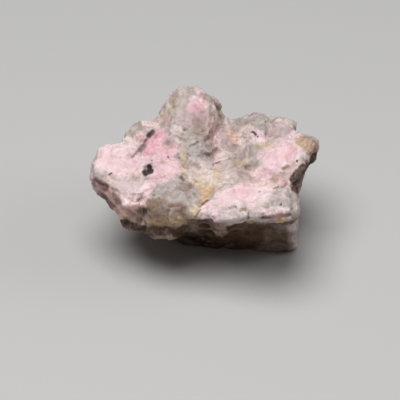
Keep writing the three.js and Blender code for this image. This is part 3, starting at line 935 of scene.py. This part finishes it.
@dataclass
class Skin:
    """The points of a mesh as arrays.

    Attributes:
        mesh: The mesh.
    """

    mesh: bpy.types.Mesh

    def read(self, name: str) -> np.ndarray:
        """Reads a vector of each point.

        Args:
            name: The vector's name.

        Returns:
            One row for each point.
        """
        values = np.empty(len(self.mesh.vertices) * 3)
        self.mesh.vertices.foreach_get(name, values)
        return values.reshape(-1, 3)

    def store(self, name: str, values: np.ndarray) -> None:
        """Stores a number with each point."""
        attribute = self.mesh.attributes.new(name, "FLOAT", "POINT")
        attribute.data.foreach_set("value", values.astype(np.float32))

    def evened(self, vectors: np.ndarray, rounds: int) -> np.ndarray:
        """Evens out vectors over the skin, each with those of the points next to it.

        Args:
            vectors: One vector for each point.
            rounds: How often they are evened out.

        Returns:
            The evened vectors.
        """
        count = len(vectors)
        edges = np.empty(len(self.mesh.edges) * 2, np.int32)
        self.mesh.edges.foreach_get("vertices", edges)
        first, second = edges.reshape(-1, 2).T
        weights = 1 + np.bincount(first, minlength=count) + np.bincount(second, minlength=count)
        for _ in range(rounds):
            total = vectors.copy()
            for axis in range(3):
                total[:, axis] += np.bincount(first, vectors[second, axis], count)
                total[:, axis] += np.bincount(second, vectors[first, axis], count)
            vectors = total / weights[:, None]
        return vectors


@dataclass
class Specimen:
    """The stone: its fine skin, and what the material reads from it.

    Attributes:
        viewpoint: Where the camera stands, which is how the forms are placed.
        node: The CAD node that it stands for.
        joined: How close loose corners are that belong together, in mm.
        voxel: How long an edge of the fine skin is, in mm.
        facets: The flat breaks on it, from large to small.
        foot: How high above the foot the skin stays as it is, and where it is fully broken, in mm.
        smoothing: How often the skin is evened out to find its soft normals, its single hollows
            and its wide hollows.
        hollow_depths: How deep a single hollow and a wide one are where they count fully, in mm.
        hollow_shares: How much each counts for where the skin is hollow.
        edge_shares: How much each counts for where the skin is an edge.
        overhang: The slopes between which the skin begins to face the ground.
        sheltered: The heights between which it begins to be under the rim, in mm.
        piece: The finished piece.
    """

    viewpoint: Viewpoint
    node: str = "stone"
    joined: float = 1e-4
    voxel: float = 0.29
    facets: tuple[Facets, ...] = (
        Facets(4.0, 0.13, 60.0, 11),
        Facets(2.0, 0.13, 50.0, 12),
        Facets(1.1, 0.11, 40.0, 13),
    )
    foot: tuple[float, float] = (0.2, 1.6)
    smoothing: tuple[int, int, int] = (6, 5, 40)
    hollow_depths: tuple[float, float] = (0.07, 0.5)
    hollow_shares: tuple[float, float] = (0.5, 0.6)
    edge_shares: tuple[float, float] = (0.6, 0.4)
    overhang: tuple[float, float] = (0.25, -0.35)
    sheltered: tuple[float, float] = (21.5, 16.0)
    piece: bpy.types.Object | None = field(default=None, init=False)

    def copy_skin(self) -> bpy.types.Mesh:
        """Copies the CAD node's mesh, with its loose triangles joined.

        Returns:
            The closed mesh.
        """
        shell = bmesh.new()
        shell.from_mesh(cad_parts[self.node].data)
        bmesh.ops.remove_doubles(shell, verts=shell.verts, dist=self.joined * MM)
        mesh = bpy.data.meshes.new("stone_skin")
        shell.to_mesh(mesh)
        shell.free()
        mesh.materials.clear()
        return mesh

    def refine(self, mesh: bpy.types.Mesh) -> bpy.types.Mesh:
        """Gives a mesh an even, fine skin.

        Args:
            mesh: The closed mesh.

        Returns:
            The fine mesh.
        """
        coarse = bpy.data.objects.new("coarse", mesh)
        bpy.context.scene.collection.objects.link(coarse)
        remesh = coarse.modifiers.new("remesh", "REMESH")
        remesh.mode = "VOXEL"
        remesh.voxel_size = self.voxel * MM
        evaluated = coarse.evaluated_get(bpy.context.evaluated_depsgraph_get())
        fine = bpy.data.meshes.new_from_object(evaluated)
        bpy.data.objects.remove(coarse)
        return fine

    def break_up(self, skin: Skin) -> None:
        """Breaks the fine skin up into flat breaks, ridges and hollows, apart from the foot.

        Args:
            skin: The fine skin, which is changed.
        """
        mesh = skin.mesh
        spots = skin.read("co") / MM
        normals = skin.evened(skin.read("normal"), self.smoothing[0])
        normals /= np.linalg.norm(normals, axis=1, keepdims=True)
        corners = [tuple(spot) for spot in spots * MM]
        tree = BVHTree.FromPolygons(corners, [tuple(face.vertices) for face in mesh.polygons])
        calm = np.zeros(len(spots))
        for form in CALM:
            calm = np.maximum(calm, form.laid(spots, self.viewpoint, tree))
        lift = sum(layer.heights(spots) for layer in self.facets) * (1 - calm)
        for form in FORMS:
            lift += form.laid(spots, self.viewpoint, tree)
        low, high = self.foot
        lift *= smooth_step((spots[:, 2] - low) / (high - low))
        moved = spots + normals * lift[:, None]
        mesh.vertices.foreach_set("co", (moved * MM).ravel())
        mesh.update()
        skin.store("calm", calm)
        self.store_hollows(skin, moved, normals)

    def store_hollows(self, skin: Skin, spots: np.ndarray, normals: np.ndarray) -> None:
        """Stores where the skin is hollow, where it is an edge and where it faces the ground.

        Args:
            skin: The fine skin, which keeps them with its points.
            spots: Its points, in mm.
            normals: Which way it faces there on the whole.
        """
        _, *rounds = self.smoothing
        hollows = [
            ((skin.evened(spots, times) - spots) * normals).sum(1) / depth
            for times, depth in zip(rounds, self.hollow_depths)
        ]
        steep, down = self.overhang
        above, below = self.sheltered
        facing = smooth_step((normals[:, 2] - steep) / (down - steep))
        shelter = smooth_step((spots[:, 2] - above) / (below - above))
        skin.store("hollow", np.clip(np.dot(self.hollow_shares, hollows), 0, 1))
        skin.store("edge", np.clip(-np.dot(self.edge_shares, hollows), 0, 1))
        # The under mask is where the material paints shade: skin that faces the ground under the rim.
        skin.store("under", facing * shelter)

    def build(self) -> None:
        """Makes the stone's piece."""
        mesh = self.refine(self.copy_skin())
        self.break_up(Skin(mesh))
        mesh.polygons.foreach_set("use_smooth", [True] * len(mesh.polygons))
        mesh.name = "stone_piece"
        self.piece = bpy.data.objects.new("tugtupite", mesh)
        bpy.context.scene.collection.objects.link(self.piece)

    def dress(self) -> None:
        """Gives the piece its minerals."""
        self.piece.data.materials.append(StoneMaterial(self.viewpoint).build(self.piece))

    def settle_on_frame(self) -> None:
        """Puts the piece in the CAD node's place."""
        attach(self.piece, "root")
        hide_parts(self.node)


# ------------------------------------------------------------------------------------ the material


@dataclass(frozen=True)
class Look:
    """How the stone looks, on the way through the material.

    Attributes:
        colour: Its colour.
        roughness: How dull it is.
    """

    colour: Wire
    roughness: Wire


@dataclass(frozen=True)
class VeinStone:
    """The vein stone where no mark lies: pale, with pink and grey mottles, stained below, with painted
    shade where its underside faces the ground.

    Attributes:
        colours: The two colours of its grains.
        roughness: How dull it is.
        mixture: Where it has the second colour.
        pink: Where it is pink.
        grey: Where it is grey.
        grey_cover: How much the grey hides it.
        stain: Where it is stained tan.
        underside_shade: Where its underside is umber rather than tan, which is partly stain and partly
            painted shade.
        underside_shade_cover: How much the underside's stain and painted shade hide it.
    """

    colours: tuple[Colour, Colour] = ((0.64, 0.53, 0.50), (0.50, 0.42, 0.39))
    roughness: float = 0.58
    mixture: Patches = Patches(2.2, (0.35, 0.65), 3.0)
    pink: Patches = Patches(9.0, (0.52, 0.64), 3.0, 0.5, (31.0, 0.0, 0.0), 0.75)
    grey: Patches = Patches(7.0, (0.50, 0.60), 3.0, 0.5, (0.0, 47.0, 0.0))
    grey_cover: float = 0.8
    stain: Patches = Patches(8.0, (0.56, 0.70), 4.0, 0.6, (0.0, 0.0, 23.0), 0.6)
    underside_shade: Patches = Patches(8.0, (0.40, 0.60), 4.0, 0.6, (0.0, 0.0, 23.0))
    underside_shade_cover: float = 0.85

    def dress(self, graph: Graph, spot: Wire) -> Look:
        """Works out its look.

        Args:
            graph: The material's nodes.
            spot: Where it is read, in mm.

        Returns:
            Its look.
        """
        tan = FINISHES[Mineral.TAN]
        umber = FINISHES[Mineral.UMBER_AND_SHADE]
        grey = FINISHES[Mineral.GREY]
        colour = graph.blend(graph.patches(spot, self.mixture), *self.colours)
        colour = graph.blend(graph.patches(spot, self.pink), colour, FINISHES[Mineral.PINK].colour)
        greyness = graph.patches(spot, self.grey)
        colour = graph.blend(greyness * self.grey_cover, colour, grey.colour)
        colour = graph.blend(graph.patches(spot, self.stain), colour, tan.colour)
        # Painted shade: skin that faces the ground under the rim goes to tan and umber, partly stain and
        # partly painted shade.
        under = graph.stored("under")
        underside_shade = graph.blend(graph.patches(spot, self.underside_shade), tan.colour, umber.colour)
        colour = graph.blend(under * self.underside_shade_cover, colour, underside_shade)
        roughness = graph.between(greyness, self.roughness, grey.roughness)
        return Look(colour, graph.between(under, roughness, umber.roughness))


@dataclass(frozen=True)
class HollowsAndEdges:
    """Darker colour in the hollows, and paler colour on the edges.

    Attributes:
        hollow_tint: What a full hollow leaves of a colour.
        hollow_darkening: How strongly a full hollow darkens it.
        edge_tint: The colour that an edge goes towards.
        paleness: How far it goes there.
        edge_lightening: How strong it is on a full edge.
    """

    hollow_tint: Colour = (0.74, 0.68, 0.62)
    hollow_darkening: float = 0.6
    edge_tint: Colour = (0.90, 0.80, 0.78)
    paleness: float = 0.5
    edge_lightening: float = 0.3

    def dress(self, graph: Graph, colour: Wire) -> Wire:
        """Makes a colour darker in the hollows and paler on the edges.

        Args:
            graph: The material's nodes.
            colour: The colour.

        Returns:
            The changed colour.
        """
        # Darker in the hollows, and paler on the edges except where the skin faces the ground under the
        # rim.
        colour = graph.blend(graph.stored("hollow") * self.hollow_darkening, colour, colour * self.hollow_tint)
        paled_colour = graph.blend(self.paleness, colour, self.edge_tint)
        bare = 1.0 - graph.stored("under")
        return graph.blend(graph.stored("edge") * bare * self.edge_lightening, colour, paled_colour)


@dataclass(frozen=True)
class Hairlines:
    """The thin dark cracks between the larger grains.

    Attributes:
        waves: How they wander.
        size: How far apart they are, in mm.
        edge: Where one ends and where it is full, as a share of that.
        strength: How strong they are.
        patches: Where there are any.
        tint: What they leave of a colour.
    """

    waves: Waves = ((2.0, 1.0), (0.6, 0.3))
    size: float = 3.4
    edge: tuple[float, float] = (0.035, 0.005)
    strength: float = 0.12
    patches: Patches = Patches(4.0, (0.45, 0.6))
    tint: Colour = (0.55, 0.50, 0.47)

    def dress(self, graph: Graph, colour: Wire, spot: Wire) -> Wire:
        """Draws the cracks on a colour.

        Args:
            graph: The material's nodes.
            colour: The colour.
            spot: Where it is read, in mm.

        Returns:
            The cracked colour.
        """
        seams = graph.seams(graph.moved(spot, self.waves), self.size)
        crack = seams.step(*self.edge, self.strength) * graph.patches(spot, self.patches)
        return graph.blend(crack, colour, colour * self.tint)


@dataclass(frozen=True)
class SugaryGrain:
    """The grain of the broken stone: light and dark grains, cracks, painted glint specks, dark specks.

    Attributes:
        fine: Its fine light patches.
        coarse: Its coarse light patches.
        grain: How large a grain is, in mm.
        contrast: How much lighter one grain may be than another.
        darkening: How much darker the stone is where none of these are.
        calm_contrast: How much of all that is left where the skin is calm.
        veil: Its thin brown patches.
        veil_tint: What they leave of a colour.
        hairlines: Its thin cracks.
        painted_glint_specks: Its painted glint specks, grains made lighter to stand in for the sparkle of
            light on its facets.
        painted_glint_lift: How much lighter they are than the grain.
        specks: Its dark specks.
    """

    fine: Patches = Patches(0.55, (0.32, 0.68), 3.0, 0.65, strength=0.28)
    coarse: Patches = Patches(1.8, (0.38, 0.62), 2.0, 0.5, (0.0, 9.0, 0.0), 0.16)
    grain: float = 0.7
    contrast: float = 0.10
    darkening: float = 0.25
    calm_contrast: float = 0.2
    veil: Patches = Patches(2.4, (0.50, 0.68), 4.0, 0.65, (17.0, 0.0, 0.0), 0.6)
    veil_tint: Colour = (0.84, 0.77, 0.70)
    hairlines: Hairlines = Hairlines()
    painted_glint_specks: Specks = Specks(0.8, (0.42, 0.22), (0.86, 0.9), (3.0, 0.0, 0.0), 0.35)
    painted_glint_lift: float = 1.5
    specks: Specks = Specks(1.7, (0.20, 0.10), (0.90, 0.92), (0.0, 5.0, 0.0), 0.6)

    def dress(self, graph: Graph, colour: Wire, spot: Wire, strength: Wire) -> Wire:
        """Breaks a colour up into grains.

        Args:
            graph: The material's nodes.
            colour: The colour.
            spot: Where it is read, in mm.
            strength: How strongly it is broken up.

        Returns:
            The grained colour.
        """
        _, random, _ = graph.cells(spot, self.grain)
        value = graph.patches(spot, self.fine) + graph.patches(spot, self.coarse)
        value = value + graph.part_of(random, 1) * self.contrast - self.darkening
        colour = colour * (1.0 + value * (strength * (1 - self.calm_contrast) + self.calm_contrast))
        colour = graph.blend(graph.patches(spot, self.veil), colour, colour * self.veil_tint)
        colour = self.hairlines.dress(graph, colour, spot)
        # Painted glint specks: some grains are made lighter to stand in for the sparkle of light on their
        # facets.
        glint = graph.specks(spot, self.painted_glint_specks) * strength
        colour = graph.blend(glint, colour, colour * self.painted_glint_lift)
        return graph.blend(graph.specks(spot, self.specks), colour, FINISHES[Mineral.BLACK].other)


@dataclass(frozen=True)
class FineBreaks:
    """The breaks of single grains, which are too fine for the skin.

    Attributes:
        pit_size: How large the pits in a grain are, in mm.
        pit_detail: How many finer layers they have.
        pit_roughness: How strong the finer layers are.
        pit_depth: How deep they are, in mm.
        tilts: How large the grains of each kind are, in mm, and how steeply they tilt.
        calm_share: How much of all that is left where the skin is calm.
        strength: How strong the breaks are.
    """

    pit_size: float = 0.6
    pit_detail: float = 4.0
    pit_roughness: float = 0.6
    pit_depth: float = 0.14
    tilts: tuple[tuple[float, float], ...] = ((1.2, 0.35), (0.55, 0.45))
    calm_share: float = 0.25
    strength: float = 0.7

    def relief(self, graph: Graph, spot: Wire, strength: Wire) -> Wire:
        """Works out which way the breaks face.

        Args:
            graph: The material's nodes.
            spot: Where they are read, in mm.
            strength: How strong they are there.

        Returns:
            The normal.
        """
        pits = graph.noise(spot, self.pit_size, self.pit_detail, self.pit_roughness)
        height = pits * self.pit_depth
        for size, slope in self.tilts:
            _, random, middle = graph.cells(spot, size)
            tilt = graph.vector_math("DOT_PRODUCT", spot - middle, random - MEAN)
            height = height + tilt * slope
        height = height * (strength * (1 - self.calm_share) + self.calm_share)
        feeds = {"Strength": self.strength, "Distance": MM, "Height": height}
        return graph.wire(graph.node("ShaderNodeBump", {}, feeds))


@dataclass(frozen=True)
class Markings:
    """The marks on the stone's skin, measured in space that is pressed flat along the view.

    Attributes:
        graph: The material's nodes.
        tree: The stone's skin.
        viewpoint: Where the camera stands, which is how the marks are placed.
        depth: How much of the way along the view is left, so that a mark follows the skin in and out.
        wandering: How the edge of a broad stain wanders.
        fraying: How the edge of a narrow stain does.
        raggedness: How the edge of a grain does.
        broad: From which radius on a stain is broad, in pixels.
        fading: How far a soft mark fades outside its radius, and how far inside.
        patches: Where a mark has its mineral's other colour.
        grain: How large the grains are that have it more or less, in mm.
        grain_share: How much a grain may have of it.
    """

    graph: Graph
    tree: BVHTree
    viewpoint: Viewpoint
    depth: float = 0.3
    wandering: Waves = ((4.0, 1.4), (1.5, 1.0), (0.5, 0.6))
    fraying: Waves = ((1.6, 0.9), (0.5, 0.5))
    raggedness: Waves = ((1.2, 0.5), (0.4, 0.4))
    broad: float = 7.0
    fading: tuple[float, float] = (0.7, 0.5)
    patches: Patches = Patches(1.6, (0.38, 0.62), 3.0, 0.6, (5.0, 0.0, 0.0), 0.6)
    grain: float = 0.9
    grain_share: float = 0.4

    def flattened(self, place: Pixel) -> Vector:
        """Finds what a pixel shows of the stone, in the flat space.

        Args:
            place: Pixels across and down the picture.

        Returns:
            The place in the flat space, in mm.
        """
        hit = self.viewpoint.landed(self.tree, place)
        towards = self.viewpoint.towards
        return hit - towards * hit.dot(towards) * (1 - self.depth)

    def edge(self, spot: Wire, waves: Waves) -> Wire:
        """Moves the spots that are read to the flat space, with waves for the marks' edges.

        Args:
            spot: Where the marks are read, in mm.
            waves: How their edges wander.

        Returns:
            The moved spot.
        """
        spot = self.graph.moved(spot, waves)
        towards = tuple(self.viewpoint.towards)
        way = self.graph.vector_math("DOT_PRODUCT", spot, towards) * (1 - self.depth)
        return spot - self.graph.vector_math("MULTIPLY", towards, way)

    def nearness(self, spot: Wire, mark: Mark) -> Wire:
        """Makes a mark's mask.

        Args:
            spot: Where the mask is read, in the flat space.
            mark: The mark.

        Returns:
            The mask, as strong as the mark in its middle.
        """
        graph = self.graph
        start = self.flattened(mark.start)
        nearest = start
        if mark.end is not None:
            end = self.flattened(mark.end)
            way = (end - start) / (end - start).length_squared
            along = graph.vector_math("DOT_PRODUCT", spot, tuple(way))
            along = along.step(start.dot(way), end.dot(way), rise=Rise.STRAIGHT)
            nearest = graph.mix(Mixing.VECTOR, along, tuple(start), tuple(end))
        distance = graph.vector_math("DISTANCE", spot, nearest)
        radius = mark.radius * self.viewpoint.pixel
        outside, inside = self.fading
        outer = radius * (1 + outside * mark.softness)
        return distance.step(outer, radius * (1 - inside * mark.softness), mark.strength)

    def laid_on(self, look: Look, spot: Wire, crisp: bool) -> Look:
        """Lays the marks of all stains, or of all grains, over the stone.

        Args:
            look: The stone's look.
            spot: Where it is read, in mm.
            crisp: Whether the grains are laid on, rather than the stains.

        Returns:
            The look with the marks.
        """
        graph = self.graph
        colour, roughness = look.colour, look.roughness
        narrow = self.edge(spot, self.raggedness if crisp else self.fraying)
        broad = narrow if crisp else self.edge(spot, self.wandering)
        _, random, _ = graph.cells(spot, self.grain)
        mix = graph.patches(spot, self.patches) + graph.part_of(random, 0) * self.grain_share
        for mineral, finish in FINISHES.items():
            if finish.crisp is not crisp:
                continue
            masks = (
                self.nearness(broad if mark.radius >= self.broad else narrow, mark)
                for mark in MARKS[mineral]
            )
            mask = functools.reduce(Wire.most, masks) * finish.cover
            colour = graph.blend(mask, colour, finish.colour)
            colour = graph.blend(mask * mix, colour, finish.other)
            roughness = graph.between(mask, roughness, finish.roughness)
        return Look(colour, roughness)


@dataclass(frozen=True)
class StoneMaterial:
    """The stone's minerals, with painted shade below and painted glint specks, as one material.

    Attributes:
        viewpoint: Where the camera stands, which is how the marks are placed.
        vein: The stone under the marks.
        hollows_and_edges: What makes its hollows darker and its edges paler.
        grain: What breaks its colour up.
        breaks: What breaks its skin up.
        sheltering: How much calmer the underside is.
        refraction: How strongly it bends light.
        gloss: How much it mirrors.
        glow: How much of the light goes through its skin.
        glow_depths: How deep its red, green and blue go, as shares of the farthest.
        glow_reach: How deep the farthest goes, in mm.
    """

    viewpoint: Viewpoint
    vein: VeinStone = VeinStone()
    hollows_and_edges: HollowsAndEdges = HollowsAndEdges()
    grain: SugaryGrain = SugaryGrain()
    breaks: FineBreaks = FineBreaks()
    sheltering: float = 0.7
    refraction: float = 1.5
    gloss: float = 0.3
    glow: float = 0.10
    glow_depths: Colour = (1.0, 0.6, 0.5)
    glow_reach: float = 0.8

    def build(self, piece: bpy.types.Object) -> bpy.types.Material:
        """Makes the material for a piece.

        Args:
            piece: The stone's piece, whose skin the marks lie on.

        Returns:
            The material.
        """
        graph = Graph("stone_minerals")
        tree = BVHTree.FromObject(piece, bpy.context.evaluated_depsgraph_get())
        markings = Markings(graph, tree, self.viewpoint)
        place = graph.wire(graph.node("ShaderNodeTexCoord", {}, {}), "Object")
        spot = place * (1.0 / MM)
        strength = (1.0 - graph.stored("calm")) * (1.0 - graph.stored("under") * self.sheltering)
        look = markings.laid_on(self.vein.dress(graph, spot), spot, crisp=False)
        colour = self.grain.dress(graph, self.hollows_and_edges.dress(graph, look.colour), spot, strength)
        look = markings.laid_on(Look(colour, look.roughness), spot, crisp=True)
        feeds = {
            "Base Color": look.colour,
            "Roughness": look.roughness,
            "Normal": self.breaks.relief(graph, spot, strength),
            "IOR": self.refraction,
            "Specular IOR Level": self.gloss,
            "Subsurface Weight": self.glow,
            "Subsurface Radius": self.glow_depths,
            "Subsurface Scale": self.glow_reach * MM,
        }
        surface = graph.node("ShaderNodeBsdfPrincipled", {}, feeds)
        graph.node("ShaderNodeOutputMaterial", {}, {"Surface": graph.wire(surface, "BSDF")})
        return graph.material


# -------------------------------------------------------------------------------------- the studio


@dataclass(frozen=True)
class Softbox:
    """A large soft light.

    Attributes:
        name: What it is.
        place: Where it hangs, in metres.
        size: How wide it is, in metres.
        power: How strong it is, in watts.
    """

    name: str
    place: Place
    size: float
    power: float

    def hang(self) -> None:
        """Hangs the light, turned to the stone."""
        lamp = bpy.data.lights.new(self.name, "AREA")
        lamp.shape = "DISK"
        lamp.size = self.size
        lamp.energy = self.power
        light = bpy.data.objects.new(self.name, lamp)
        light.location = self.place
        light.rotation_mode = "QUATERNION"
        light.rotation_quaternion = (-Vector(self.place)).to_track_quat("-Z", "Y")
        bpy.context.scene.collection.objects.link(light)


@dataclass(frozen=True)
class Studio:
    """A pale floor, soft lights and a pale room round the stone.

    Attributes:
        floor_radius: How far the floor reaches, in metres.
        floor_corners: How many corners its edge has.
        floor_colour: Its colour.
        floor_roughness: How dull it is.
        room_colour: The colour of the room's light.
        room_strength: How strong that is.
        lights: The softboxes.
    """

    floor_radius: float = 3.0
    floor_corners: int = 96
    floor_colour: Colour = (0.55, 0.545, 0.54)
    floor_roughness: float = 0.8
    room_colour: Colour = (0.80, 0.80, 0.82)
    room_strength: float = 0.12
    lights: tuple[Softbox, ...] = (
        Softbox("key", (-0.08, -0.10, 0.55), 0.40, 3.05),
        Softbox("fill", (0.45, 0.0, 0.30), 0.30, 0.5),
    )

    def lay_floor(self) -> None:
        """Lays the floor."""
        disc = bmesh.new()
        bmesh.ops.create_circle(disc, cap_ends=True, segments=self.floor_corners, radius=self.floor_radius)
        mesh = bpy.data.meshes.new("floor")
        disc.to_mesh(mesh)
        disc.free()
        graph = Graph("floor_paper")
        feeds = {"Base Color": self.floor_colour, "Roughness": self.floor_roughness}
        surface = graph.node("ShaderNodeBsdfPrincipled", {}, feeds)
        graph.node("ShaderNodeOutputMaterial", {}, {"Surface": graph.wire(surface, "BSDF")})
        mesh.materials.append(graph.material)
        floor = bpy.data.objects.new("floor", mesh)
        bpy.context.scene.collection.objects.link(floor)

    def light_room(self) -> None:
        """Lights the room and hangs the softboxes."""
        world = bpy.data.worlds.new("room")
        world.use_nodes = True
        background = world.node_tree.nodes["Background"]
        background.inputs["Color"].default_value = (*self.room_colour, 1.0)
        background.inputs["Strength"].default_value = self.room_strength
        bpy.context.scene.world = world
        for light in self.lights:
            light.hang()


def main() -> None:
    """Builds the studio and the stone."""
    logging.basicConfig(level=logging.INFO, format="%(name)s: %(message)s")
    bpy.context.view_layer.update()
    bpy.context.scene.view_settings.view_transform = "Standard"
    viewpoint = Viewpoint()
    viewpoint.place_camera()
    studio = Studio()
    studio.lay_floor()
    studio.light_room()
    specimen = Specimen(viewpoint)
    specimen.build()
    specimen.dress()
    specimen.settle_on_frame()
    log.info("stone: %d faces", len(specimen.piece.data.polygons))


if __name__ == "__main__":
    main()
